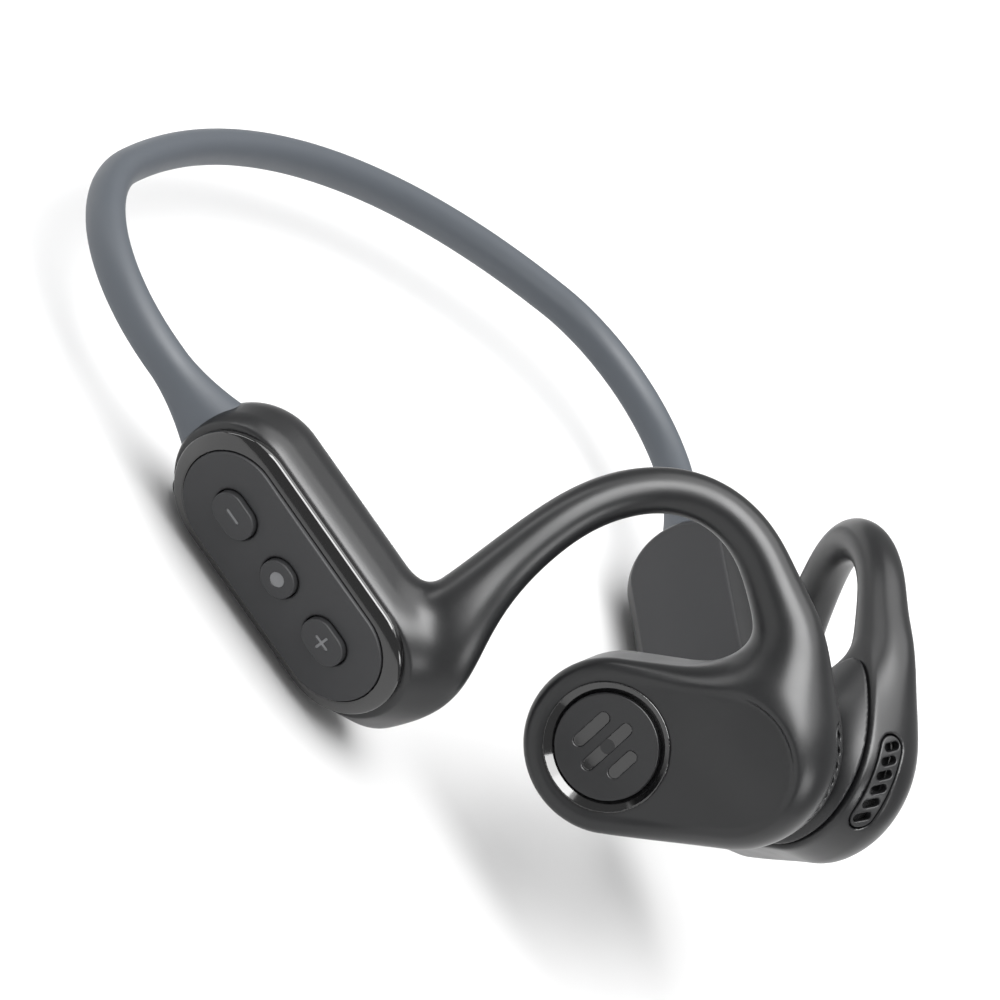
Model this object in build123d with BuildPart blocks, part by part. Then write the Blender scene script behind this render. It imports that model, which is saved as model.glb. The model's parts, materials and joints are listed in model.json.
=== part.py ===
"""Neckband open-ear headphones: a flexible neckband, two pods, two ear hooks and two speaker pods.

Millimetres, +Z up, +X to the wearer's left, -Y to the front. The origin is the middle of the whole
object's base. The neckband and the two pods lie in one level plane, and X = 0 is the mirror plane.
Most pieces are made on the wearer's right and mirrored. Places on the right side are given from the
hub, the point midway between the pods' rear ends.
"""
import math
import os

from build123d import *

os.makedirs("parts", exist_ok=True)

# ---- Driving dimensions ------------------------------------------------------------------------
HUB = Vector(0, 6.2, 10.04)  # midway between the pods' rear ends, seen from the origin

# Neckband
BAND_BACK = 49.2  # from the hub back to the neckband's centreline at the nape
BACK_RADIUS = 100.0  # shallow arc across the nape
SIDE_RADIUS = 22.0  # tight arc at each side
BAND_THICK = 4.2  # section across the band, seen from above
BAND_TALL = 5.0  # section height
FLARE_LENGTH = 9.0  # stretch that widens into the pod
FLARE_THICK = 7.4
FLARE_TALL = 10.5
WIRE_R = 0.6  # shape-memory wire in the band
KNUCKLE_R = 2.1  # round nose at the nape where the band flexes
KNUCKLE_GAP = 0.35
KNUCKLE_TALL = 4.6

# Pods
POD_X = 51.4  # half the distance between the pods' rear ends
POD_TOE = 25.0  # pods turn in towards the front, degrees
POD_TILT = 12.0  # outer faces look a little down, degrees
POD_MID = 18.4  # middle of the pod along its own axis
POD_LENGTH = 39.6
POD_TALL = 19.6
POD_TOP = 4.6  # outer rim of the shell, from the pod's middle plane
POD_BOTTOM = -6.0
BEZEL_LENGTH = 36.8
BEZEL_TALL = 17.6
BEZEL_BASE = 3.4
BEZEL_TOP = 5.7
BEZEL_SLOPE = 1.5
PANEL_LENGTH = 32.6
PANEL_TALL = 14.0
PANEL_THICK = 1.4
PANEL_TOP = 5.9
POD_WALL = 2.5
COVER_THICK = 1.0
COVER_LENGTH = 35.6
COVER_TALL = 15.8

# Buttons
BUTTON_PITCH = 8.7
BUTTON_LENGTH = 6.3
BUTTON_TALL = 4.7
CENTER_LENGTH = 5.1
BUTTON_PROUD = 0.7
BUTTON_GAP = 0.15
BUTTON_TRAVEL = 0.35
FLANGE_RIM = 0.5
FLANGE_THICK = 0.5
SYMBOL_DEPTH = 0.15
SYMBOL_LENGTH = 1.9
SYMBOL_WIDTH = 0.36
DOT_R = 0.95

# Electronics in the pods
BOARD_THICK = 0.8
BOARD_TOP = 2.0
SWITCH_SIZE = 3.0
SWITCH_THICK = 0.6
PLUNGER_R = 0.7
PLUNGER_TALL = 0.4
BATTERY_LENGTH = 20.0
BATTERY_TALL = 11.5
BATTERY_THICK = 5.0
PORT_X = 7.4
PORT_LENGTH = 9.0
PORT_TALL = 3.2
PORT_DEPTH = 6.4
PORT_OPENING = 0.55
FLAP_LENGTH = 11.6
FLAP_TALL = 5.2
FLAP_THICK = 0.8
FLAP_SEAT = -9.0
FLAP_CLEAR = 0.25
FLAP_LIFT = 0.05

# Speaker pods
SPEAKER_TOE = 20.0
SPEAKER_LEAN = 8.0  # outer faces look a little up, degrees
SPEAKER_RISE = 49.0  # long axis above the horizontal, degrees
SPEAKER_CENTER = (-14.15, -44.35, 11.9)  # middle of the lower round end, wearer's right, from the hub
SPEAKER_SPAN = 14.4  # between the centres of the two round ends
SPEAKER_R = 10.2
SPEAKER_HALF = 5.75
SEAM_Z = -3.2  # seam between the outer shell and the inner cover
SPEAKER_WALL = 1.5
FACE_FILLET = 1.9
INNER_FILLET = 3.0
BADGE_R = 6.2
BADGE_POCKET_R = 7.25
BADGE_DEPTH = 0.75
BADGE_THICK = 0.5
DRIVER_R = 8.0
DRIVER_THICK = 4.6
SOUND_LENGTH = 9.0
SOUND_TALL = 4.6
GRILLE_THICK = 0.5
VENT_LENGTH = 11.6
VENT_TALL = 3.4
VENT_Z = -0.6
VENT_THICK = 0.9
VENT_SLOT = (2.1, 0.95)
VENT_SLOTS = 6
VENT_STEP = 10.0  # degrees between slots round the end
VENT_SLANT = 30.0

# Ear hooks: centreline stations on the wearer's right, each (x, y, z) from the hub, width, thickness.
# The hook climbs from the pod's front end, arches over the ear and comes down to the speaker pod.
HOOK_RISE = [
    ((-36.6, -31.3, 3.5), 14.0, 7.4),
    ((-36.3, -30.3, 8.5), 10.6, 7.0),
    ((-34.8, -28.5, 12.6), 7.9, 6.6),
    ((-32.9, -26.7, 16.5), 6.5, 6.2),
    ((-31.0, -25.3, 20.6), 5.8, 5.6),
    ((-28.9, -24.2, 24.4), 5.5, 5.3),
    ((-26.0, -23.5, 28.6), 5.4, 5.2),
    ((-22.0, -24.3, 33.3), 5.3, 5.1),
    ((-18.6, -27.0, 36.6), 5.3, 5.1),
    ((-15.9, -31.0, 38.2), 5.5, 5.2),
    ((-13.8, -35.3, 38.1), 5.8, 5.5),
    ((-12.2, -39.3, 36.8), 6.5, 6.0),
]
# Last stations, in the speaker pod's own plane: (along, across), width, thickness.
HOOK_LANDING = [
    ((18.9, 14.8), 8.2, 7.2),
    ((18.2, 10.6), 10.4, 8.6),
    ((16.8, 5.5), 12.0, 9.6),
]
HOOK_WIRE_R = 0.5

# ---- Planes ------------------------------------------------------------------------------------
MIRROR = Plane.YZ
toe = math.radians(POD_TOE)
tilt = math.radians(POD_TILT)
pod_forward = Vector(math.sin(toe), -math.cos(toe), 0)
pod_outward = Vector(-math.cos(toe), -math.sin(toe), 0)
pod_normal = pod_outward * math.cos(tilt) - Vector(0, 0, 1) * math.sin(tilt)
pod_rear = HUB + Vector(-POD_X, 0, 0)
pod_plane = Plane(origin=pod_rear + pod_forward * POD_MID, x_dir=pod_forward, z_dir=pod_normal)

speaker_toe = math.radians(SPEAKER_TOE)
lean = math.radians(SPEAKER_LEAN)
rise = math.radians(SPEAKER_RISE)
speaker_forward = Vector(math.sin(speaker_toe), -math.cos(speaker_toe), 0)
speaker_outward = Vector(-math.cos(speaker_toe), -math.sin(speaker_toe), 0)
speaker_normal = speaker_outward * math.cos(lean) + Vector(0, 0, 1) * math.sin(lean)
speaker_up = speaker_outward * -math.sin(lean) + Vector(0, 0, 1) * math.cos(lean)
speaker_axis = speaker_forward * math.cos(rise) + speaker_up * math.sin(rise)
speaker_plane = Plane(origin=HUB + Vector(*SPEAKER_CENTER), x_dir=speaker_axis, z_dir=speaker_normal)


def on_plane(plane, x, y=0.0, z=0.0):
    """A point given in a plane's own axes."""
    return plane.origin + plane.x_dir * x + plane.y_dir * y + plane.z_dir * z


def shifted(plane, x, y=0.0, z=0.0):
    """The same plane moved along its own axes."""
    return Plane(origin=on_plane(plane, x, y, z), x_dir=plane.x_dir, z_dir=plane.z_dir)


def save(builder, label):
    """Name a finished piece and write it to its own file."""
    builder.part.label = label
    export_step(builder.part, f"parts/{label}.step")


# ---- Neckband ----------------------------------------------------------------------------------
# The side arc touches the back arc inside and the straight run into the pod. Its distance back along
# that run comes from the quadratic for the two tangencies.
back_center = HUB + Vector(0, BAND_BACK - BACK_RADIUS, 0)
inward = -pod_outward
start = pod_rear + inward * SIDE_RADIUS - back_center
linear = -2 * start.dot(pod_forward)
constant = start.dot(start) - (BACK_RADIUS - SIDE_RADIUS) ** 2
run_length = (-linear + math.sqrt(linear**2 - 4 * constant)) / 2
side_center = pod_rear - pod_forward * run_length + inward * SIDE_RADIUS
run_start = side_center - inward * SIDE_RADIUS
back_end = back_center + (side_center - back_center).normalized() * BACK_RADIUS
side_mid = side_center + ((run_start - side_center) + (back_end - side_center)).normalized() * SIDE_RADIUS
back_mid_direction = ((back_end - back_center).normalized() + Vector(0, 1, 0)).normalized()
back_mid = back_center + back_mid_direction * BACK_RADIUS
nape = HUB + Vector(0, BAND_BACK, 0)
flare_start = pod_rear - pod_forward * FLARE_LENGTH


def band_body(across, height, stop):
    """One half of the neckband, from the nape to a point on the straight run."""
    with BuildPart(mode=Mode.PRIVATE) as body:
        with BuildLine() as route:
            ThreePointArc(nape, back_mid, back_end)
            ThreePointArc(back_end, side_mid, run_start)
            Line(run_start, stop)
        with BuildSketch(Plane(origin=nape, x_dir=(0, 1, 0), z_dir=(-1, 0, 0))):
            Ellipse(across / 2, height / 2)
        sweep(path=route.line)
    return body.part


def band_flare():
    """The widening end of the neckband, up to the pod's rear end."""
    with BuildPart(mode=Mode.PRIVATE) as flare:
        for share, grow in ((0.0, 0.0), (0.45, 0.28), (1.0, 1.0), (1.35, 1.3)):
            place = flare_start + pod_forward * (FLARE_LENGTH * share)
            thick = BAND_THICK + (FLARE_THICK - BAND_THICK) * grow
            tall = BAND_TALL + (FLARE_TALL - BAND_TALL) * grow
            with BuildSketch(Plane(origin=place, x_dir=pod_outward, z_dir=pod_forward)):
                Ellipse(thick / 2, tall / 2)
        loft()
    return flare.part


# ---- Pod envelope, shared by the shell and by the pieces that meet it --------------------------
def pod_envelope():
    """The outside of a pod: stadium sections that swell in the middle and round over at both faces."""
    sections = [
        (POD_BOTTOM, 3.6),
        (POD_BOTTOM + 1.3, 1.1),
        (-1.6, 0.0),
        (1.4, 0.1),
        (3.4, 0.9),
        (POD_TOP, 2.1),
    ]
    with BuildPart(mode=Mode.PRIVATE) as body:
        for height, inset in sections:
            with BuildSketch(pod_plane.offset(height)):
                SlotOverall(POD_LENGTH - inset, POD_TALL - inset)
        loft()
    return body.part


def speaker_envelope():
    """The outside of a speaker pod, with both faces rounded over."""
    with BuildPart(mode=Mode.PRIVATE) as body:
        with BuildSketch(shifted(speaker_plane, SPEAKER_SPAN / 2, 0, -SPEAKER_HALF)):
            SlotCenterToCenter(SPEAKER_SPAN, 2 * SPEAKER_R)
        extrude(amount=2 * SPEAKER_HALF)
        faces = body.faces().filter_by(GeomType.PLANE).sort_by(Axis(speaker_plane.origin, speaker_normal))
        fillet(faces[0].edges(), INNER_FILLET)
        faces = body.faces().filter_by(GeomType.PLANE).sort_by(Axis(speaker_plane.origin, speaker_normal))
        fillet(faces[-1].edges(), FACE_FILLET)
    return body.part


# ---- Hook: one loft for the sleeve and one for its wire ----------------------------------------
hook_points = [HUB + Vector(*point) for point, _, _ in HOOK_RISE]
hook_points += [on_plane(speaker_plane, *place) for place, _, _ in HOOK_LANDING]
hook_sizes = [(width, thick) for _, width, thick in HOOK_RISE + HOOK_LANDING]
hook_first = on_plane(pod_plane, 15.6, -3.5, -1.2)
hook_points = [hook_first] + hook_points
hook_sizes = [(11.0, 6.4)] + hook_sizes


def hook_plane(index):
    """The plane across the hook at one station."""
    before = hook_points[max(index - 1, 0)]
    after = hook_points[min(index + 1, len(hook_points) - 1)]
    along = (after - before).normalized()
    across = (pod_outward - along * pod_outward.dot(along)).normalized()
    return Plane(origin=hook_points[index], x_dir=across.cross(along), z_dir=along)


def hook_sleeve_body():
    with BuildPart(mode=Mode.PRIVATE) as body:
        for index, (width, thick) in enumerate(hook_sizes):
            with BuildSketch(hook_plane(index)):
                Ellipse(width / 2, thick / 2)
        loft()
    return body.part


def hook_wire_body():
    with BuildPart(mode=Mode.PRIVATE) as body:
        for index in range(1, len(hook_points) - len(HOOK_LANDING)):
            with BuildSketch(hook_plane(index)):
                Circle(HOOK_WIRE_R)
        loft()
    return body.part


pod_body = pod_envelope()
speaker_body = speaker_envelope()
hook_body = hook_sleeve_body()
hook_wire = hook_wire_body()
flare_body = band_flare()
band_wire = band_body(2 * WIRE_R, 2 * WIRE_R, pod_rear + pod_forward * 1.0)
band_skin = band_body(BAND_THICK, BAND_TALL, flare_start)

# ---- Neckband pieces ---------------------------------------------------------------------------
with BuildPart() as neckband_wire_right:
    add(band_wire)
    with BuildSketch(Plane(nape).offset(-BAND_TALL)):
        Circle(KNUCKLE_R + KNUCKLE_GAP + 0.4)
    extrude(amount=2 * BAND_TALL, mode=Mode.SUBTRACT)
save(neckband_wire_right, "neckband_wire_right")

with BuildPart() as neckband_wire_left:
    mirror(neckband_wire_right.part, about=MIRROR)
save(neckband_wire_left, "neckband_wire_left")

with BuildPart() as neckband_sleeve_right:
    add(band_skin)
    add(flare_body)
    add(pod_body, mode=Mode.SUBTRACT)
    with BuildSketch(Plane(nape).offset(-BAND_TALL)):
        Circle(KNUCKLE_R + KNUCKLE_GAP)
    extrude(amount=2 * BAND_TALL, mode=Mode.SUBTRACT)
    add(neckband_wire_right.part, mode=Mode.SUBTRACT)
save(neckband_sleeve_right, "neckband_sleeve_right")

with BuildPart() as neckband_sleeve_left:
    mirror(band_skin, about=MIRROR)
    mirror(flare_body, about=MIRROR)
    mirror(pod_body, about=MIRROR, mode=Mode.SUBTRACT)
    add(neckband_wire_left.part, mode=Mode.SUBTRACT)
    with BuildSketch(Plane(nape).offset(-KNUCKLE_TALL / 2)):
        Circle(KNUCKLE_R)
    extrude(amount=KNUCKLE_TALL)
save(neckband_sleeve_left, "neckband_sleeve_left")

# ---- Pod shells --------------------------------------------------------------------------------
port_plane = Plane(
    origin=on_plane(pod_plane, PORT_X - POD_MID, FLAP_SEAT, BOARD_TOP - BOARD_THICK - PORT_TALL / 2),
    x_dir=pod_plane.x_dir,
    z_dir=-pod_plane.y_dir,
)

# The shell holds the bezel's seat, the room for the electronics and the seat of the inner cover.
with BuildPart() as plain_shell:
    add(pod_body)
    with BuildSketch(pod_plane.offset(BEZEL_BASE)):
        SlotOverall(BEZEL_LENGTH, BEZEL_TALL)
    extrude(amount=POD_TOP - BEZEL_BASE + 1, mode=Mode.SUBTRACT)
    with BuildSketch(pod_plane.offset(POD_BOTTOM + COVER_THICK)):
        SlotOverall(POD_LENGTH - 2 * POD_WALL, POD_TALL - 2 * POD_WALL)
    extrude(amount=BEZEL_BASE - POD_BOTTOM - COVER_THICK, mode=Mode.SUBTRACT)
    with BuildSketch(pod_plane.offset(POD_BOTTOM)):
        SlotOverall(COVER_LENGTH, COVER_TALL)
    extrude(amount=COVER_THICK, mode=Mode.SUBTRACT)
    add(hook_wire, mode=Mode.SUBTRACT)
    add(band_wire, mode=Mode.SUBTRACT)

with BuildPart() as right_pod_shell:
    add(plain_shell.part)
    with BuildSketch(port_plane):
        SlotOverall(FLAP_LENGTH, FLAP_TALL)
    extrude(amount=POD_TALL, mode=Mode.SUBTRACT)
    with BuildSketch(port_plane):
        SlotOverall(PORT_LENGTH, PORT_TALL)
    extrude(amount=-PORT_OPENING - PORT_DEPTH, mode=Mode.SUBTRACT)
save(right_pod_shell, "right_pod_shell")

with BuildPart() as left_pod_shell:
    mirror(plain_shell.part, about=MIRROR)
save(left_pod_shell, "left_pod_shell")

with BuildPart() as right_inner_cover:
    with BuildSketch(pod_plane.offset(POD_BOTTOM)):
        SlotOverall(COVER_LENGTH, COVER_TALL)
    extrude(amount=COVER_THICK)
save(right_inner_cover, "right_inner_cover")

with BuildPart() as left_inner_cover:
    mirror(right_inner_cover.part, about=MIRROR)
save(left_inner_cover, "left_inner_cover")

with BuildPart() as right_bezel:
    with BuildSketch(pod_plane.offset(BEZEL_BASE)):
        SlotOverall(BEZEL_LENGTH, BEZEL_TALL)
    extrude(amount=BEZEL_TOP - BEZEL_BASE)
    top = right_bezel.faces().sort_by(Axis(pod_plane.origin, pod_normal))[-1]
    chamfer(top.edges(), length=BEZEL_SLOPE, length2=BEZEL_SLOPE)
    with BuildSketch(pod_plane.offset(BEZEL_BASE)):
        SlotOverall(PANEL_LENGTH, PANEL_TALL)
    extrude(amount=BEZEL_TOP - BEZEL_BASE, mode=Mode.SUBTRACT)
save(right_bezel, "right_bezel")

with BuildPart() as left_bezel:
    mirror(right_bezel.part, about=MIRROR)
save(left_bezel, "left_bezel")

with BuildPart() as plain_panel:
    with BuildSketch(pod_plane.offset(PANEL_TOP - PANEL_THICK)):
        SlotOverall(PANEL_LENGTH, PANEL_TALL)
    extrude(amount=PANEL_THICK)
    top = plain_panel.faces().sort_by(Axis(pod_plane.origin, pod_normal))[-1]
    fillet(top.edges(), 0.15)

with BuildPart() as left_panel:
    mirror(plain_panel.part, about=MIRROR)
save(left_panel, "left_panel")

# ---- Buttons -----------------------------------------------------------------------------------
BUTTONS = {
    "button_minus": (-BUTTON_PITCH, BUTTON_LENGTH),
    "button_center": (0.0, CENTER_LENGTH),
    "button_plus": (BUTTON_PITCH, BUTTON_LENGTH),
}
flange_top = PANEL_TOP - PANEL_THICK - BUTTON_GAP
cap_top = PANEL_TOP + BUTTON_PROUD

with BuildPart() as right_control_panel:
    add(plain_panel.part)
    for place, length in BUTTONS.values():
        with BuildSketch(shifted(pod_plane, place, 0, PANEL_TOP - PANEL_THICK)):
            SlotOverall(length + 2 * BUTTON_GAP, BUTTON_TALL + 2 * BUTTON_GAP)
        extrude(amount=PANEL_THICK, mode=Mode.SUBTRACT)
save(right_control_panel, "right_control_panel")

for label, (place, length) in BUTTONS.items():
    with BuildPart() as button:
        with BuildSketch(shifted(pod_plane, place, 0, flange_top)):
            SlotOverall(length, BUTTON_TALL)
        extrude(amount=cap_top - flange_top)
        top = button.faces().sort_by(Axis(pod_plane.origin, pod_normal))[-1]
        fillet(top.edges(), 0.3)
        with BuildSketch(shifted(pod_plane, place, 0, flange_top - FLANGE_THICK)):
            SlotOverall(length + 2 * FLANGE_RIM, BUTTON_TALL + 2 * FLANGE_RIM)
        extrude(amount=FLANGE_THICK)
        with BuildSketch(shifted(pod_plane, place, 0, cap_top)):
            if label == "button_center":
                Circle(DOT_R)
            else:
                Rectangle(SYMBOL_LENGTH, SYMBOL_WIDTH)
            if label == "button_plus":
                Rectangle(SYMBOL_WIDTH, SYMBOL_LENGTH)
        extrude(amount=-SYMBOL_DEPTH, mode=Mode.SUBTRACT)
    save(button, label)

with BuildPart() as center_dot:
    with BuildSketch(shifted(pod_plane, 0, 0, cap_top - SYMBOL_DEPTH)):
        Circle(DOT_R)
    extrude(amount=SYMBOL_DEPTH)
save(center_dot, "center_dot")

# ---- Electronics -------------------------------------------------------------------------------
for label, (place, _) in BUTTONS.items():
    with BuildPart() as switch:
        with BuildSketch(shifted(pod_plane, place, 0, BOARD_TOP)):
            Rectangle(SWITCH_SIZE, SWITCH_SIZE)
        extrude(amount=SWITCH_THICK)
        with BuildSketch(shifted(pod_plane, place, 0, BOARD_TOP + SWITCH_THICK)):
            Circle(PLUNGER_R)
        extrude(amount=PLUNGER_TALL)
    save(switch, label.replace("button", "switch"))

with BuildPart() as control_board:
    with BuildSketch(pod_plane.offset(BOARD_TOP - BOARD_THICK)):
        SlotOverall(POD_LENGTH - 2 * POD_WALL - 2, POD_TALL - 2 * POD_WALL - 2)
    extrude(amount=BOARD_THICK)
    add(hook_wire, mode=Mode.SUBTRACT)
save(control_board, "control_board")

with BuildPart() as right_battery:
    with BuildSketch(shifted(pod_plane, 4.0, 0, POD_BOTTOM + COVER_THICK)):
        RectangleRounded(BATTERY_LENGTH, BATTERY_TALL, 1.2)
    extrude(amount=BATTERY_THICK)
save(right_battery, "right_battery")

with BuildPart() as left_battery:
    mirror(right_battery.part, about=MIRROR)
save(left_battery, "left_battery")

with BuildPart() as charge_socket:
    with BuildSketch(port_plane.offset(-PORT_OPENING)):
        SlotOverall(PORT_LENGTH, PORT_TALL)
    extrude(amount=-PORT_DEPTH)
    with BuildSketch(port_plane.offset(-PORT_OPENING)):
        SlotOverall(PORT_LENGTH - 0.8, PORT_TALL - 0.8)
    extrude(amount=-PORT_DEPTH + 0.8, mode=Mode.SUBTRACT)
    with BuildSketch(port_plane.offset(-PORT_OPENING - 0.8)):
        Rectangle(PORT_LENGTH - 3.4, 0.7)
    extrude(amount=-PORT_DEPTH + 1.2)
save(charge_socket, "charge_socket")

# The flap is a thin stadium with a short plug. It swings about an axis at its rear end.
with BuildPart() as port_flap:
    with BuildSketch(port_plane.offset(FLAP_LIFT)):
        SlotOverall(FLAP_LENGTH - 2 * FLAP_CLEAR, FLAP_TALL - 2 * FLAP_CLEAR)
    extrude(amount=FLAP_THICK)
    with BuildSketch(port_plane.offset(FLAP_LIFT)):
        SlotOverall(PORT_LENGTH - 1.6, PORT_TALL - 0.6)
    extrude(amount=-PORT_OPENING)
save(port_flap, "port_flap")

# ---- Ear hooks ---------------------------------------------------------------------------------
with BuildPart() as right_hook_wire:
    add(hook_wire)
save(right_hook_wire, "right_hook_wire")

with BuildPart() as left_hook_wire:
    mirror(hook_wire, about=MIRROR)
save(left_hook_wire, "left_hook_wire")

with BuildPart() as right_hook_sleeve:
    add(hook_body)
    add(pod_body, mode=Mode.SUBTRACT)
    add(speaker_body, mode=Mode.SUBTRACT)
    add(hook_wire, mode=Mode.SUBTRACT)
save(right_hook_sleeve, "right_hook_sleeve")

with BuildPart() as left_hook_sleeve:
    mirror(right_hook_sleeve.part, about=MIRROR)
save(left_hook_sleeve, "left_hook_sleeve")

# ---- Speaker pods ------------------------------------------------------------------------------
end_center = shifted(speaker_plane, SPEAKER_SPAN)


def vent_block(radius, thick):
    """A curved stadium plate that follows the pod's upper round end."""
    with BuildPart(mode=Mode.PRIVATE) as block:
        with BuildSketch(end_center.offset(VENT_Z - VENT_TALL / 2)):
            Circle(radius)
            Circle(radius - thick, mode=Mode.SUBTRACT)
        extrude(amount=VENT_TALL)
        with BuildSketch(Plane(on_plane(end_center, 0, 0, VENT_Z), x_dir=end_center.y_dir, z_dir=end_center.x_dir)):
            SlotOverall(VENT_LENGTH, VENT_TALL)
        extrude(amount=2 * SPEAKER_R, mode=Mode.INTERSECT)
    return block.part


vent_window = vent_block(SPEAKER_R + 1, SPEAKER_WALL + 2)
vent_plate = vent_block(SPEAKER_R, VENT_THICK)
vent_cloth = vent_block(SPEAKER_R - VENT_THICK, SPEAKER_WALL - VENT_THICK)

with BuildPart() as speaker_room:
    with BuildSketch(shifted(speaker_plane, SPEAKER_SPAN / 2, 0, -SPEAKER_HALF + SPEAKER_WALL)):
        SlotCenterToCenter(SPEAKER_SPAN, 2 * (SPEAKER_R - SPEAKER_WALL))
    extrude(amount=2 * (SPEAKER_HALF - SPEAKER_WALL))

with BuildPart() as right_speaker_shell:
    add(speaker_body)
    split(bisect_by=speaker_plane.offset(SEAM_Z), keep=Keep.TOP)
    add(speaker_room.part, mode=Mode.SUBTRACT)
    with BuildSketch(speaker_plane.offset(SPEAKER_HALF - BADGE_DEPTH)):
        Circle(BADGE_POCKET_R)
    extrude(amount=2 * BADGE_DEPTH, mode=Mode.SUBTRACT)
    add(vent_window, mode=Mode.SUBTRACT)
save(right_speaker_shell, "right_speaker_shell")

with BuildPart() as right_speaker_cover:
    add(speaker_body)
    split(bisect_by=speaker_plane.offset(SEAM_Z), keep=Keep.BOTTOM)
    add(speaker_room.part, mode=Mode.SUBTRACT)
    with BuildSketch(speaker_plane.offset(-SPEAKER_HALF)):
        SlotOverall(SOUND_LENGTH, SOUND_TALL)
    extrude(amount=SPEAKER_WALL, mode=Mode.SUBTRACT)
save(right_speaker_cover, "right_speaker_cover")

with BuildPart() as right_sound_grille:
    with BuildSketch(speaker_plane.offset(-SPEAKER_HALF + 0.4)):
        SlotOverall(SOUND_LENGTH, SOUND_TALL)
        with GridLocations(1.5, 1.5, 5, 2):
            Circle(0.4, mode=Mode.SUBTRACT)
    extrude(amount=GRILLE_THICK)
save(right_sound_grille, "right_sound_grille")

with BuildPart() as right_driver:
    with BuildSketch(speaker_plane.offset(-SPEAKER_HALF + SPEAKER_WALL)):
        Circle(DRIVER_R)
    extrude(amount=DRIVER_THICK)
    top = right_driver.faces().sort_by(Axis(speaker_plane.origin, speaker_normal))[-1]
    chamfer(top.edges(), 0.8)
save(right_driver, "right_driver")

with BuildPart() as right_badge:
    with BuildSketch(speaker_plane.offset(SPEAKER_HALF - BADGE_DEPTH)):
        Circle(BADGE_R)
    extrude(amount=BADGE_THICK)
save(right_badge, "right_badge")

with BuildPart() as right_vent_plate:
    add(vent_plate)
    for index in range(VENT_SLOTS):
        angle = math.radians(VENT_STEP) * (index - (VENT_SLOTS - 1) / 2)
        outward = end_center.x_dir * math.cos(angle) + end_center.y_dir * math.sin(angle)
        face = Plane(on_plane(end_center, 0, 0, VENT_Z), x_dir=end_center.z_dir, z_dir=outward)
        with BuildSketch(face):
            SlotOverall(*VENT_SLOT, rotation=VENT_SLANT)
        extrude(amount=SPEAKER_R + 1, mode=Mode.SUBTRACT)
save(right_vent_plate, "right_vent_plate")

with BuildPart() as right_vent_mesh:
    add(vent_cloth)
save(right_vent_mesh, "right_vent_mesh")

for name, builder in {
    "speaker_shell": right_speaker_shell,
    "speaker_cover": right_speaker_cover,
    "sound_grille": right_sound_grille,
    "driver": right_driver,
    "badge": right_badge,
    "vent_plate": right_vent_plate,
    "vent_mesh": right_vent_mesh,
}.items():
    with BuildPart() as twin:
        mirror(builder.part, about=MIRROR)
    save(twin, f"left_{name}")
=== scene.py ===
"""Neckband open-ear headphones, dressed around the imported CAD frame."""
import json
import math

import bpy
import numpy as np
from mathutils import Matrix, Vector


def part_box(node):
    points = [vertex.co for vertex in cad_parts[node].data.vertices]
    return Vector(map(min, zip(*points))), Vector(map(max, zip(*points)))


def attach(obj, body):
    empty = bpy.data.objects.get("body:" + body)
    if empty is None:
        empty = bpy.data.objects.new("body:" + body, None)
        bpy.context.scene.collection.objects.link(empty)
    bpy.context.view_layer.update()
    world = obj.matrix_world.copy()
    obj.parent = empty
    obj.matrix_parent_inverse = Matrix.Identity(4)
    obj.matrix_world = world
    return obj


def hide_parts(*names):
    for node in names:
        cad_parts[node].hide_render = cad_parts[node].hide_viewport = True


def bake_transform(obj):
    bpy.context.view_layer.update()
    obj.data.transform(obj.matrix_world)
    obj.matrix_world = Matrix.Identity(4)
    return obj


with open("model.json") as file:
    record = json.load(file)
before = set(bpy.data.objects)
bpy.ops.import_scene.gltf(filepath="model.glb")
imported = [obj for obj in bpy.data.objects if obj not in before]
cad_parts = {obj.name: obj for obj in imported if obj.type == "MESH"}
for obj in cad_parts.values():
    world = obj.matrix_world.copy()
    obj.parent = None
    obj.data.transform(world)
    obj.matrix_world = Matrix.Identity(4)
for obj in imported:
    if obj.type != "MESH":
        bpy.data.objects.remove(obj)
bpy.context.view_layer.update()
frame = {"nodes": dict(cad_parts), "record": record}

# ---- Dimensions, in millimetres -------------------------------------------------------------------
# Most are the CAD's. Pod, bezel, panel, cover, button and flare sizes and the speaker's seam are this
# model's own: slimmer than the CAD's, and inside it.
MM = 0.001
HUB = np.array([0.0, 6.2, 10.04])  # midway between the pods' rear ends

BAND_BACK = 49.2
BACK_RADIUS = 100.0
SIDE_RADIUS = 22.0
BAND_THICK = 4.2
BAND_TALL = 5.0
FLARE_LENGTH = 9.0
FLARE_THICK = 6.8
FLARE_TALL = 9.0

POD_X = 51.4
POD_TOE = 25.0
POD_TILT = 12.0
POD_MID = 18.4
POD_LENGTH = 39.6
POD_TALL = 17.8
POD_BOTTOM = -6.0
BEZEL_LENGTH = 36.8
BEZEL_TALL = 16.5
BEZEL_BASE = 3.4
BEZEL_TOP = 5.75
PANEL_LENGTH = 32.6
PANEL_TALL = 13.1
PANEL_THICK = 1.4
PANEL_TOP = 5.9
COVER_LENGTH = 34.6
COVER_TALL = 13.4
COVER_THICK = 1.0
BUTTON_PITCH = 8.7
BUTTON_LENGTH = 6.0
BUTTON_TALL = 4.3
CENTER_LENGTH = 4.7
BUTTON_PROUD = 0.7
BUTTON_GAP = 0.15
FLANGE_RIM = 0.5
FLANGE_THICK = 0.5
DOT_R = 0.95
PORT_X = 7.4
PORT_Z = -0.4
FLAP_LENGTH = 11.6
FLAP_TALL = 5.2
FLAP_SEAT = -8.45

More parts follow.
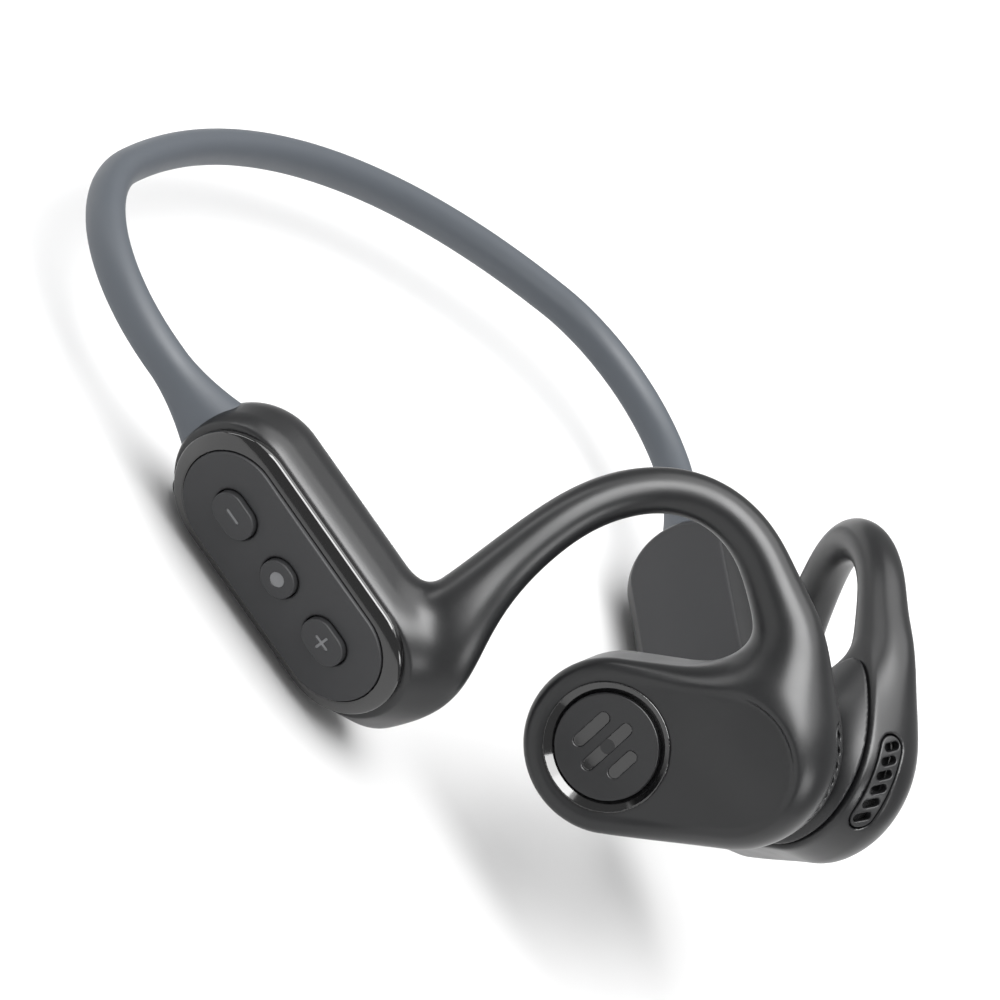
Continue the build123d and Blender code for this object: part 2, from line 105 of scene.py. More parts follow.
SPEAKER_TOE = 20.0
SPEAKER_LEAN = 8.0
SPEAKER_RISE = 49.0
SPEAKER_CENTER = (-14.15, -44.35, 11.9)
SPEAKER_SPAN = 14.4
SPEAKER_R = 10.2
SPEAKER_HALF = 5.75
SEAM_Z = -3.9
BADGE_R = 6.2
BADGE_POCKET_R = 7.25
BADGE_DEPTH = 0.75
VENT_LENGTH = 11.6
VENT_TALL = 3.4
VENT_Z = -0.6
VENT_THICK = 0.9
VENT_SLOTS = 6
VENT_PITCH = 1.74
VENT_SLANT = 30.0

HOOK_RISE = [
    ((-36.6, -31.3, 3.5), 14.0, 7.4),
    ((-36.3, -30.3, 8.5), 10.6, 7.0),
    ((-34.8, -28.5, 12.6), 7.9, 6.6),
    ((-32.9, -26.7, 16.5), 6.5, 6.2),
    ((-31.0, -25.3, 20.6), 5.8, 5.6),
    ((-28.9, -24.2, 24.4), 5.5, 5.3),
    ((-26.0, -23.5, 28.6), 5.4, 5.2),
    ((-22.0, -24.3, 33.3), 5.3, 5.1),
    ((-18.6, -27.0, 36.6), 5.3, 5.1),
    ((-15.9, -31.0, 38.2), 5.5, 5.2),
    ((-13.8, -35.3, 38.1), 5.8, 5.5),
    ((-12.2, -39.3, 36.8), 6.5, 6.0),
]
HOOK_LANDING = [
    ((18.9, 14.8), 8.2, 7.2),
    ((18.2, 10.6), 10.4, 8.6),
    ((16.8, 5.5), 12.0, 9.6),
]


# ---- Local axes -----------------------------------------------------------------------------------
class Axes:
    """A local frame on the wearer's right: origin and unit axes, in millimetres."""

    def __init__(self, origin, x_dir, z_dir):
        self.origin = np.array(origin, float)
        self.x = np.array(x_dir, float)
        self.z = np.array(z_dir, float)
        self.y = np.cross(self.z, self.x)
        self.matrix = np.array([self.x, self.y, self.z])

    def local(self, points):
        return (points - self.origin) @ self.matrix.T

    def world(self, points):
        return np.asarray(points, float) @ self.matrix + self.origin

    def at(self, x, y=0.0, z=0.0):
        return Axes(self.world([x, y, z]), self.x, self.z)


def forward_and_outward(degrees):
    angle = math.radians(degrees)
    forward = np.array([math.sin(angle), -math.cos(angle), 0.0])
    outward = np.array([-math.cos(angle), -math.sin(angle), 0.0])
    return forward, outward


UP = np.array([0.0, 0.0, 1.0])
pod_forward, pod_outward = forward_and_outward(POD_TOE)
tilt = math.radians(POD_TILT)
pod_normal = pod_outward * math.cos(tilt) - UP * math.sin(tilt)
pod_rear = HUB + np.array([-POD_X, 0.0, 0.0])
pod = Axes(pod_rear + pod_forward * POD_MID, pod_forward, pod_normal)

speaker_forward, speaker_outward = forward_and_outward(SPEAKER_TOE)
lean = math.radians(SPEAKER_LEAN)
rise = math.radians(SPEAKER_RISE)
speaker_normal = speaker_outward * math.cos(lean) + UP * math.sin(lean)
speaker_up = UP * math.cos(lean) - speaker_outward * math.sin(lean)
speaker_axis = speaker_forward * math.cos(rise) + speaker_up * math.sin(rise)
speaker = Axes(HUB + np.array(SPEAKER_CENTER), speaker_axis, speaker_normal)


# ---- Solids as distance fields --------------------------------------------------------------------
def stadium(x, y, length, tall):
    """Distance to a stadium centred at the origin, long axis along x."""
    radius = tall / 2
    past = np.maximum(np.abs(x) - (length / 2 - radius), 0)
    return np.hypot(past, y) - radius


def both(a, b, radius):
    """Intersection with an edge rounded to a radius."""
    corner = np.hypot(np.maximum(a + radius, 0), np.maximum(b + radius, 0))
    return np.minimum(np.maximum(a, b), -radius) + corner


def less(a, b, radius):
    """a with b cut away and a rounded edge."""
    return both(a, -b, radius)


def blend_union(a, b, width):
    """Union with a soft fillet of about a width."""
    share = np.clip(0.5 + 0.5 * (b - a) / width, 0, 1)
    return b + (a - b) * share - width * share * (1 - share)


def slab(z, low, high):
    return np.abs(z - (low + high) / 2) - (high - low) / 2


# ---- Surface from a field -------------------------------------------------------------------------
BLOCK = 8


def sample(field, low, step, counts):
    """The field on a grid, worked out only in the blocks that the surface may cross."""
    values = np.full(counts, 1e3, np.float32)
    blocks = [np.arange(0, n, BLOCK) for n in counts]
    corner = np.stack(np.meshgrid(*blocks, indexing="ij"), -1).reshape(-1, 3)
    middle = low + (corner + BLOCK / 2) * step
    distance = field(middle)
    reach = step * BLOCK * 0.5 * math.sqrt(3) * 1.35 + step
    offsets = np.stack(np.meshgrid(*[np.arange(BLOCK)] * 3, indexing="ij"), -1).reshape(-1, 3)
    for start, far in zip(corner, distance):
        if far < -reach:
            stop = start + BLOCK
            values[start[0]:stop[0], start[1]:stop[1], start[2]:stop[2]] = -1e3
    near = corner[np.abs(distance) <= reach]
    for chunk in np.array_split(near, max(1, len(near) // 400)):
        index = (chunk[:, None, :] + offsets[None]).reshape(-1, 3)
        index = index[(index < np.array(counts)).all(1)]
        values[tuple(index.T)] = field(low + index * step)
    return values


def surface(field, low, high, step):
    """Vertices and quads of the field's zero surface, moved exactly onto it (surface nets)."""
    low = np.array(low, float) - 2 * step
    counts = tuple(int(n) for n in np.ceil((np.array(high) + 2 * step - low) / step).astype(int) + 1)
    values = sample(field, low, step, counts)
    inside = values < 0
    cells = np.zeros(tuple(n - 1 for n in counts), np.int8)
    shifts = [(i, j, k) for i in (0, 1) for j in (0, 1) for k in (0, 1)]
    for i, j, k in shifts:
        cells += inside[i:counts[0] - 1 + i, j:counts[1] - 1 + j, k:counts[2] - 1 + k]
    active = np.argwhere((cells > 0) & (cells < 8))
    number = np.full(cells.shape, -1, np.int64)
    number[tuple(active.T)] = np.arange(len(active))

    total = np.zeros((len(active), 3))
    hits = np.zeros(len(active))
    for a, first in enumerate(shifts):
        for second in shifts[a + 1:]:
            if sum(abs(p - q) for p, q in zip(first, second)) != 1:
                continue
            one = values[tuple((active + first).T)].astype(float)
            two = values[tuple((active + second).T)].astype(float)
            crossed = (one < 0) != (two < 0)
            share = np.where(crossed, one / np.where(crossed, one - two, 1), 0)
            place = np.array(first) + share[:, None] * (np.array(second) - np.array(first))
            total += place * crossed[:, None]
            hits += crossed
    points = low + (active + total / hits[:, None]) * step

    quads = []
    for axis in range(3):
        side, other = (axis + 1) % 3, (axis + 2) % 3
        ahead = np.roll(inside, -1, axis)
        changed = inside != ahead
        index = np.argwhere(changed)
        keep = (index[:, axis] < counts[axis] - 1) & (index[:, side] > 0) & (index[:, other] > 0)
        keep &= (index[:, side] < counts[side] - 1) & (index[:, other] < counts[other] - 1)
        index = index[keep]
        ring = []
        for back_side, back_other in ((1, 1), (0, 1), (0, 0), (1, 0)):
            cell = index.copy()
            cell[:, side] -= back_side
            cell[:, other] -= back_other
            ring.append(number[tuple(cell.T)])
        quad = np.stack(ring, 1)
        flip = ~inside[tuple(index.T)]
        quad[flip] = quad[flip][:, ::-1]
        quads.append(quad)
    quads = np.concatenate(quads)

    for _ in range(3):
        value, slope = value_and_slope(field, points, step * 0.1)
        points = points - np.clip(value, -step, step)[:, None] * slope
    return points, quads


def value_and_slope(field, points, reach):
    """The field and its direction of growth at some points."""
    slope = np.empty_like(points)
    for axis in range(3):
        move = np.zeros(3)
        move[axis] = reach
        slope[:, axis] = field(points + move) - field(points - move)
    length = np.linalg.norm(slope, axis=1)
    steep = np.maximum(length / (2 * reach), 0.3)
    return field(points) / steep, slope / np.maximum(length, 1e-9)[:, None]


# ---- Blender objects ------------------------------------------------------------------------------
def mesh_object(name, points, faces, mirrored=False):
    """A smooth mesh object in metres, on the wearer's right or mirrored to the left."""
    points = np.array(points, float) * MM
    faces = [tuple(int(i) for i in face) for face in faces]
    if mirrored:
        points = points * np.array([-1.0, 1.0, 1.0])
        faces = [face[::-1] for face in faces]
    mesh = bpy.data.meshes.new(name)
    mesh.from_pydata([tuple(p) for p in points], [], faces)
    mesh.update()
    mesh.shade_smooth()
    thing = bpy.data.objects.new(name, mesh)
    bpy.context.collection.objects.link(thing)
    return thing


def finish_piece(thing, body, material_slot, nodes):
    thing.data.materials.append(MATERIALS[material_slot])
    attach(thing, body)
    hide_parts(*nodes)
    return thing


def carve(name, axes, field, low, high, step, material_slot, nodes, sides=("right", "left"), body=None):
    """A piece from a field in local axes, on one side or on both.

    Node names carry no side when it is both.
    """
    points, faces = surface(field, low, high, step)
    points = axes.world(points)
    pieces = []
    for side in sides:
        label = f"{side}_{name}" if len(sides) == 2 else name
        owned = [f"{side}_{node}" for node in nodes] if len(sides) == 2 else nodes
        thing = mesh_object(f"{label}_skin", points, faces, mirrored=side == "left")
        pieces.append(finish_piece(thing, body or f"{side}_side", material_slot, owned))
    return pieces


# ---- Materials ------------------------------------------------------------------------------------
def new_material(name):
    material = bpy.data.materials.new(name)
    material.use_nodes = True
    nodes = material.node_tree.nodes
    nodes.clear()
    output = nodes.new("ShaderNodeOutputMaterial")
    shader = nodes.new("ShaderNodeBsdfPrincipled")
    material.node_tree.links.new(shader.outputs[0], output.inputs[0])
    return material, shader


def add(material, kind, **inputs):
    node = material.node_tree.nodes.new(kind)
    for key, value in inputs.items():
        if key in node.inputs:
            node.inputs[key].default_value = value
        else:
            setattr(node, key, value)
    return node


def join(material, source, target):
    material.node_tree.links.new(source, target)


def noise(material, scale, detail=3.0, roughness=0.55):
    place = add(material, "ShaderNodeTexCoord")
    texture = add(material, "ShaderNodeTexNoise", Scale=scale, Detail=detail, Roughness=roughness)
    join(material, place.outputs["Object"], texture.inputs["Vector"])
    return texture.outputs["Fac"]


def spread(material, source, low, high):
    """A 0 to 1 signal mapped to a range."""
    node = add(material, "ShaderNodeMapRange")
    node.inputs["From Min"].default_value = 0.3
    node.inputs["From Max"].default_value = 0.7
    node.inputs["To Min"].default_value = low
    node.inputs["To Max"].default_value = high
    join(material, source, node.inputs["Value"])
    return node.outputs["Result"]


def tint(material, source, dark, light):
    ramp = add(material, "ShaderNodeMix", data_type="RGBA")
    ramp.inputs[6].default_value = (*dark, 1)
    ramp.inputs[7].default_value = (*light, 1)
    join(material, source, ramp.inputs[0])
    return ramp.outputs[2]


def bump(material, shader, source, strength, distance):
    node = add(material, "ShaderNodeBump", Strength=strength, Distance=distance)
    join(material, source, node.inputs["Height"])
    join(material, node.outputs["Normal"], shader.inputs["Normal"])
    return node


def moulded(name, color, rough, grain=2600.0, grain_depth=0.00002, strength=0.25, vary=0.12, coat=0.0,
            specular=0.5):
    """Moulded plastic, rubber or metal: fine grain in the bump, patches in roughness and tone."""
    material, shader = new_material(name)
    patches = noise(material, 60.0)
    darker = tuple(c * (1 - vary) for c in color)
    lighter = tuple(c * (1 + vary) for c in color)
    join(material, tint(material, patches, darker, lighter), shader.inputs["Base Color"])
    wear = noise(material, 240.0, 6.0)
    join(material, spread(material, wear, rough * (1 - vary), rough * (1 + vary)), shader.inputs["Roughness"])
    bump(material, shader, noise(material, grain, 2.0), strength, grain_depth)
    shader.inputs["Coat Weight"].default_value = coat
    shader.inputs["Coat Roughness"].default_value = 0.08
    shader.inputs["Specular IOR Level"].default_value = specular
    return material


def metallic(name, color, rough, grain=3000.0):
    material = moulded(name, color, rough, grain=grain, vary=0.18)
    shader = material.node_tree.nodes["Principled BSDF"]
    shader.inputs["Metallic"].default_value = 1.0
    return material


MATERIALS = {
    "band_silicone": moulded("band silicone", (0.083, 0.094, 0.109), 0.5, grain=3200, strength=0.18,
                             vary=0.06, specular=0.35),
    "housing": moulded("graphite housing", (0.009, 0.0093, 0.0102), 0.34, grain=4200, strength=0.05,
                       vary=0.08, specular=0.42),
    "dark_plastic": moulded("dark plastic", (0.011, 0.0113, 0.0124), 0.4, grain=3000, strength=0.12,
                            specular=0.4),
    "gloss_black": moulded("gloss black", (0.003, 0.003, 0.0033), 0.09, grain=900, strength=0.02, vary=0.2,
                           coat=0.5),
    "matte_panel": moulded("matte panel", (0.031, 0.0315, 0.0335), 0.55, grain=3600, strength=0.25,
                           vary=0.05, specular=0.3),
    # light grey of the centre dot; the minus and plus symbols also use it as a painted highlight
    "light_dot": moulded("light dot", (0.17, 0.173, 0.18), 0.5, grain=3000),
    "wire": metallic("spring wire", (0.5, 0.49, 0.47), 0.3),
    "socket_metal": metallic("stamped metal", (0.42, 0.42, 0.43), 0.28),
    "board": moulded("board", (0.012, 0.05, 0.028), 0.35, grain=1400),
    "battery_foil": metallic("battery foil", (0.55, 0.56, 0.58), 0.34, grain=700),
    "driver_metal": metallic("driver metal", (0.10, 0.10, 0.105), 0.4),
    "flap_silicone": moulded("flap silicone", (0.018, 0.018, 0.02), 0.6, grain=2600, strength=0.3),
}


def woven_mesh():
    """A fine woven metal cloth: two crossed wave patterns."""
    material, shader = new_material("woven mesh")
    place = add(material, "ShaderNodeTexCoord")
    waves = []
    for direction in ("X", "Z"):
        wave = add(material, "ShaderNodeTexWave", wave_type="BANDS", bands_direction=direction, Scale=1300.0)
        join(material, place.outputs["Object"], wave.inputs["Vector"])
        waves.append(wave.outputs["Fac"])
    weave = add(material, "ShaderNodeMath", operation="MAXIMUM")
    join(material, waves[0], weave.inputs[0])
    join(material, waves[1], weave.inputs[1])
    cloth = tint(material, weave.outputs[0], (0.004, 0.004, 0.004), (0.09, 0.09, 0.092))
    join(material, cloth, shader.inputs["Base Color"])
    bump(material, shader, weave.outputs[0], 0.8, 0.00008)
    join(material, spread(material, weave.outputs[0], 0.6, 0.35), shader.inputs["Roughness"])
    shader.inputs["Metallic"].default_value = 0.6
    return material


MATERIALS["mesh"] = woven_mesh()

for row in frame["record"]["subparts"]:
    node = frame["nodes"][row["node"]]
    node.data.materials.clear()
    node.data.materials.append(MATERIALS[row["material_slot"]])


# ---- Housings: pod shell, ear hook and speaker shell ----------------------------------------------
POD_SHOULDER = 4.6
POD_INNER_ROUND = 6.0
POD_VIRTUAL_TOP = 5.7
POD_VIRTUAL_BOTTOM = -7.0
HOOK_FILLET = 2.8
LANDING_FILLET = 5.2
LANDING_OUTER = 8.5  # the same fillet on the side away from the badge
FACE_ROUND = 1.5
END_ROUND = 5.0
END_CREASE = 0.45
INNER_ROUND = 3.0
HOUSING_STEP = 0.25
SEAM_GAP = 0.24
LEDGE_Z = 3.7  # the hook's root stays below this beside the bezel
HIDDEN = 1.2  # how much smaller a seat is than the piece that covers it


def smooth(value):
    """0 to 1 with soft ends."""
    value = np.clip(value, 0, 1)
    return value * value * (3 - 2 * value)


def pod_outside(points):
    x, y, z = pod.local(points).T
    side = stadium(x, y, POD_LENGTH, POD_TALL)
    lower = both(side, POD_VIRTUAL_BOTTOM - z, POD_INNER_ROUND)
    lower = both(lower, POD_BOTTOM - z, 0.3)
    return both(lower, z - POD_VIRTUAL_TOP, POD_SHOULDER)


def speaker_outside(points):
    """A stadium block whose face rounds over more, and from a crisp line, at the hook's end."""
    x, y, z = speaker.local(points).T
    side = stadium(x - SPEAKER_SPAN / 2, y, SPEAKER_SPAN + 2 * SPEAKER_R, 2 * SPEAKER_R)
    inner = both(side, -SPEAKER_HALF - z, INNER_ROUND)
    share = smooth((x + 1) / (SPEAKER_SPAN + 3))
    rounding = FACE_ROUND + (END_ROUND - FACE_ROUND) * share
    rounded = both(inner, z - SPEAKER_HALF - END_CREASE * share, rounding)
    return both(rounded, z - SPEAKER_HALF, 0.25)


def hook_curve():
    """Points along the hook, each with its centre, half sizes, heading and sideways direction."""
    first = pod.world([15.6, -3.5, -1.2])
    places = [first] + [HUB + np.array(p) for p, _, _ in HOOK_RISE]
    places += [speaker.world([x, y, 0.0]) for (x, y), _, _ in HOOK_LANDING]
    sizes = [(11.0, 6.4)] + [(w, t) for _, w, t in HOOK_RISE + HOOK_LANDING]
    rows = np.hstack([np.array(places), np.array(sizes) / 2])
    padded = np.vstack([2 * rows[0] - rows[1], rows, 2 * rows[-1] - rows[-2]])
    fine = []
    for i in range(1, len(padded) - 2):
        a, b, c, d = padded[i - 1:i + 3]
        for t in np.arange(0, 1, 1 / HOOK_PIECES):
            curve = 2 * b + (c - a) * t + (2 * a - 5 * b + 4 * c - d) * t**2 + (3 * b - 3 * c + d - a) * t**3
            fine.append(curve / 2)
    fine.append(padded[-2])
    fine = np.array(fine)
    for _ in range(16):  # even out the bends between stations
        fine[1:-1] = (fine[:-2] + 2 * fine[1:-1] + fine[2:]) / 4
    heading = np.gradient(fine[:, :3], axis=0)
    heading /= np.linalg.norm(heading, axis=1)[:, None]
    across = pod_outward - heading * (heading @ pod_outward)[:, None]
    across /= np.linalg.norm(across, axis=1)[:, None]
    return np.hstack([fine, heading, across])


HOOK_PIECES = 6
HOOK_SOFT = 1.8
HOOK_REACH = 16.0
hook_rows = hook_curve()


def hook_outside(points):
    """Distance to the hook: an oval section round its centreline, averaged a little where the line bends."""
    centers = hook_rows[:, :3]
    coarse = centers[::HOOK_PIECES]
    result = np.empty(len(points))
    for start in range(0, len(points), 50000):
        part = points[start:start + 50000]
        far = np.full(len(part), 1e9)
        for center in coarse:
            far = np.minimum(far, ((part - center) ** 2).sum(1))
        value = np.sqrt(far) - HOOK_REACH / 2
        near = far < HOOK_REACH**2
        close = part[near]
        squared = (close**2).sum(1)[:, None] - 2 * close @ centers.T + (centers**2).sum(1)
        weight = np.exp((squared.min(1)[:, None] - squared) / HOOK_SOFT**2)
        row = weight @ hook_rows / weight.sum(1)[:, None]
        gap = close - row[:, :3]
        sideways = (gap * row[:, 8:]).sum(1)
        rest = np.sqrt(np.maximum((gap * gap).sum(1) - sideways**2, 0))
        wide, thick = row[:, 3], row[:, 4]
        value[near] = (np.hypot(rest / wide, sideways / thick) - 1) * np.minimum(wide, thick)
        result[start:start + 50000] = value
    return result


def cover_region(points):
    """What the inner half of the speaker pod takes up."""
    x, y, z = speaker.local(points).T
    outline = stadium(x - SPEAKER_SPAN / 2, y, SPEAKER_SPAN + 2 * SPEAKER_R + 12, 2 * SPEAKER_R + 12)
    return np.maximum(outline, z - SEAM_Z)


def flowing_body(points):
    """Pod, hook and speaker pod flowing into each other, with the speaker's face kept flat."""
    body = blend_union(pod_outside(points), hook_outside(points), HOOK_FILLET)
    x, y, z = speaker.local(points).T
    outer = smooth((x - SPEAKER_SPAN + 2) / SPEAKER_R)
    fillet = LANDING_FILLET + (LANDING_OUTER - LANDING_FILLET) * outer
    body = blend_union(body, speaker_outside(points), fillet)
    face = stadium(x - SPEAKER_SPAN / 2, y, SPEAKER_SPAN + 2 * SPEAKER_R - 5.2, 2 * SPEAKER_R - 4.6)
    return less(body, both(face, SPEAKER_HALF - z, 0.3), 0.9)


def housing(points):
    """Pod shell, hook and speaker shell as one moulding, with its seats, badge pocket and vent window."""
    body = flowing_body(points)
    x, y, z = pod.local(points).T
    ledge = both(stadium(x, y, BEZEL_LENGTH + 1.4, BEZEL_TALL + 1.2), LEDGE_Z - z, 0.3)
    body = less(body, ledge, 0.35)
    seat = both(stadium(x, y, BEZEL_LENGTH - HIDDEN, BEZEL_TALL - HIDDEN), BEZEL_BASE - z, 0.1)
    body = less(body, seat, 0.2)
    inner_seat = both(stadium(x, y, COVER_LENGTH - HIDDEN, COVER_TALL - HIDDEN),
                      z - POD_BOTTOM - COVER_THICK, 0.1)
    body = less(body, inner_seat, 0.25)
    body = less(body, cover_region(points) - SEAM_GAP / 2, 0.4)
    x, y, z = speaker.local(points).T
    pocket = both(np.hypot(x, y) - BADGE_POCKET_R, SPEAKER_HALF - BADGE_DEPTH - z, 0.1)
    body = less(body, pocket, 0.3)
    window = both(vent_window(points), -1.6 - body, 0.1)
    return less(body, window, 0.2)


def vent_window(points):
    """The seat of the vent plate, on the round end that faces the hook."""
    x, y, z = speaker.local(points).T
    outline = stadium(y, z - VENT_Z, VENT_LENGTH, VENT_TALL)
    return both(outline, SPEAKER_SPAN + 2.0 - x, 0.1)


def right_housing(points):
    """The same moulding with the recess of the charging port's flap."""
    x, y, z = pod.local(points).T
    x = x - PORT_X + POD_MID
    z = z - PORT_Z
    recess = both(stadium(x, z, FLAP_LENGTH, FLAP_TALL), y - FLAP_SEAT, 0.1)
    return less(housing(points), recess, 0.2)


def build_housings():
    nodes = ("pod_shell", "hook_sleeve", "speaker_shell")
    low = np.min([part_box(f"right_{n}")[0] for n in nodes], axis=0) / MM - 1
    high = np.max([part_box(f"right_{n}")[1] for n in nodes], axis=0) / MM + 1
    step = HOUSING_STEP
    for side, field in (("right", right_housing), ("left", housing)):
        points, faces = surface(field, low, high, step)
        thing = mesh_object(f"{side}_housing_skin", points, faces, mirrored=side == "left")
        finish_piece(thing, f"{side}_side", "housing", [f"{side}_{n}" for n in nodes])


build_housings()


# ---- Speaker pods ---------------------------------------------------------------------------------
def speaker_cover(points):
    x, y, z = points.T
    places = speaker.world(points)
    solid = both(flowing_body(places), cover_region(places) + SEAM_GAP / 2, 0.4)
    opening = both(stadium(x, y, 9.0, 4.6), z + SPEAKER_HALF - 0.5, 0.1)
    return less(solid, opening, 0.35)


def sound_grille(points):
    x, y, z = points.T
    plate = both(stadium(x, y, 8.9, 4.5), slab(z, -SPEAKER_HALF + 0.25, -SPEAKER_HALF + 0.9), 0.1)
    pitch = 0.95
    row = np.round(y / (pitch * 0.866))
    shift = np.mod(row, 2) * pitch / 2
    hole = np.hypot(x - shift - pitch * np.round((x - shift) / pitch), y - row * pitch * 0.866) - 0.3
    return less(plate, hole, 0.06)


def dish(x, y):
    return SPEAKER_HALF - 0.5 + 0.5 * (x * x + y * y) / BADGE_R**2 - 0.12


def level_bars(x, y):
    """A generic motif: three rounded bars of uneven length."""
    turn = math.radians(49)
    along = x * math.cos(turn) + y * math.sin(turn)
    across = y * math.cos(turn) - x * math.sin(turn)
    bars = stadium(along, across, 7.6, 1.5)
    for place, length in ((-2.7, 4.2), (2.7, 5.4)):
        bars = np.minimum(bars, stadium(along, across - place, length, 1.5))
    return bars


def badge(points):
    """A dished disc with the motif hollowed into it."""
    x, y, z = points.T
    disc = both(np.hypot(x, y) - BADGE_R, z - dish(x, y), 0.15)
    disc = both(disc, SPEAKER_HALF - BADGE_DEPTH - 0.6 - z, 0.1)
    return less(disc, both(level_bars(x, y), dish(x, y) - 0.3 - z, 0.05), 0.08)


def badge_inlay(points):
    """The polished floor of the motif and of the groove round the disc."""
    x, y, z = points.T
    bars = both(level_bars(x, y) - 0.06, slab(z - dish(x, y), -0.5, -0.14), 0.04)
    r = np.hypot(x, y)
    cone = z - SPEAKER_HALF + 0.12 + (BADGE_POCKET_R - r) * 0.62
    ring = both(both(slab(r, BADGE_R - 0.3, BADGE_POCKET_R + 0.3), cone, 0.05), 4.4 - z, 0.05)
    return np.minimum(bars, ring)


def vent_plate(points):
    """A plate flush with the pod's round end, with slanted slots."""
    x, y, z = points.T
    depth = flowing_body(speaker.world(points))
    outline = stadium(y, z - VENT_Z, VENT_LENGTH - 0.36, VENT_TALL - 0.36)
    plate = both(both(outline, slab(depth, -VENT_THICK, -0.03), 0.15), SPEAKER_SPAN + 2.0 - x, 0.1)
    slant = math.radians(VENT_SLANT)
    for index in range(VENT_SLOTS):
        along = y - VENT_PITCH * (index - (VENT_SLOTS - 1) / 2)
        v = z - VENT_Z
        lengthways = v * math.cos(slant) + along * math.sin(slant)
        crossways = along * math.cos(slant) - v * math.sin(slant)
        slot = stadium(lengthways, crossways, 2.2, 1.0)
        plate = less(plate, slot, 0.12)
    return plate


SPEAKER_LOW = (-SPEAKER_R - 0.6, -SPEAKER_R - 0.6, -SPEAKER_HALF - 1.5)
SPEAKER_HIGH = (SPEAKER_SPAN + SPEAKER_R + 5, SPEAKER_R + 5, SEAM_Z + 0.5)
ROUGH = 1.0
carve("speaker_cover", speaker, speaker_cover, SPEAKER_LOW, SPEAKER_HIGH, 0.3 * ROUGH, "dark_plastic",
      ["speaker_cover"])
carve("sound_grille", speaker, sound_grille, (-4.6, -2.5, -6), (4.6, 2.5, -4.6), 0.1 * ROUGH, "mesh",
      ["sound_grille"])
carve("badge", speaker, badge, (-6.4, -6.4, 4.3), (6.4, 6.4, 6.0), 0.12 * ROUGH, "dark_plastic", ["badge"])
carve("badge_inlay", speaker, badge_inlay, (-7.7, -7.7, 4.3), (7.7, 7.7, 6.0), 0.14 * ROUGH,
      "gloss_black", [])
carve("vent_plate", speaker, vent_plate,
      (SPEAKER_SPAN + 5, -6, -2.5), (SPEAKER_SPAN + 12.5, 6, 1.3), 0.1 * ROUGH,
      "dark_plastic", ["vent_plate"])


# ---- Pods -----------------------------------------------------------------------------------------
PANEL_CROWN = 0.25


def panel_top(x):
    return PANEL_TOP - PANEL_CROWN * (2 * x / PANEL_LENGTH) ** 2


def plain_panel(points):
    x, y, z = points.T
    outline = stadium(x, y, PANEL_LENGTH - 0.1, PANEL_TALL - 0.1)
    return both(both(outline, z - panel_top(x), 0.18), PANEL_TOP - PANEL_THICK - z, 0.1)


def control_panel(points):
    x, y, z = points.T
    solid = plain_panel(points)
    keys = ((-BUTTON_PITCH, BUTTON_LENGTH), (0.0, CENTER_LENGTH), (BUTTON_PITCH, BUTTON_LENGTH))
    for place, length in keys:
        hole = stadium(x - place, y, length + 2 * BUTTON_GAP, BUTTON_TALL + 2 * BUTTON_GAP)
        solid = less(solid, hole, 0.14)
    return solid


def bezel(points):
    """A polished ring that rounds over from the panel's edge and then slopes to the shoulder."""
    x, y, z = points.T
    outer = stadium(x, y, BEZEL_LENGTH - 0.1, BEZEL_TALL - 0.1)
    slope = (outer + 1.3 + (z - BEZEL_TOP) * 1.05) / math.hypot(1, 1.05)
    ring = both(slope, z - BEZEL_TOP, 1.5)
    ring = both(both(outer, ring, 0.2), BEZEL_BASE + 0.05 - z, 0.1)
    return less(ring, stadium(x, y, PANEL_LENGTH + 0.08, PANEL_TALL + 0.08), 0.1)


def inner_cover(points):
    x, y, z = points.T
    outline = stadium(x, y, COVER_LENGTH - 0.12, COVER_TALL - 0.12)
    return both(outline, slab(z, POD_BOTTOM, POD_BOTTOM + COVER_THICK), 0.2)


def port_flap(points):
    """A thin cover flush with the pod's lower side, with a short plug behind it."""
    x, y, z = points.T
    x = x - PORT_X + POD_MID
    z = z - PORT_Z
    outside = both(stadium(x, z, FLAP_LENGTH - 0.4, FLAP_TALL - 0.4),
                   slab(y, FLAP_SEAT - 0.48, FLAP_SEAT - 0.02), 0.15)
    plug = both(stadium(x, z, 7.2, 2.1), slab(y, FLAP_SEAT - 0.3, FLAP_SEAT + 0.3), 0.15)
    notch = both(stadium(x - 4.4, z, 0.7, 1.8), y - FLAP_SEAT + 0.3, 0.05)
    return np.minimum(less(outside, notch, 0.08), plug)


carve("port_flap", pod, port_flap,
      (PORT_X - POD_MID - 6, -9.4, PORT_Z - 3), (PORT_X - POD_MID + 6, -7.9, PORT_Z + 3),
      0.14 * ROUGH, "flap_silicone", ["port_flap"], sides=("right",), body="flap")


POD_LOW = (-BEZEL_LENGTH / 2, -BEZEL_TALL / 2, BEZEL_BASE)
POD_HIGH = (BEZEL_LENGTH / 2, BEZEL_TALL / 2, PANEL_TOP + 0.2)
carve("bezel", pod, bezel, POD_LOW, POD_HIGH, 0.16 * ROUGH, "gloss_black", ["bezel"])
carve("right_control_panel", pod, control_panel, POD_LOW, POD_HIGH, 0.18 * ROUGH, "matte_panel",
      ["right_control_panel"], sides=("right",))
carve("left_panel", pod, plain_panel, POD_LOW, POD_HIGH, 0.22 * ROUGH, "matte_panel", ["left_panel"],
      sides=("left",))
carve("inner_cover", pod, inner_cover, (-COVER_LENGTH / 2, -COVER_TALL / 2, POD_BOTTOM),
      (COVER_LENGTH / 2, COVER_TALL / 2, POD_BOTTOM + COVER_THICK), 0.22 * ROUGH, "matte_panel",
      ["inner_cover"])


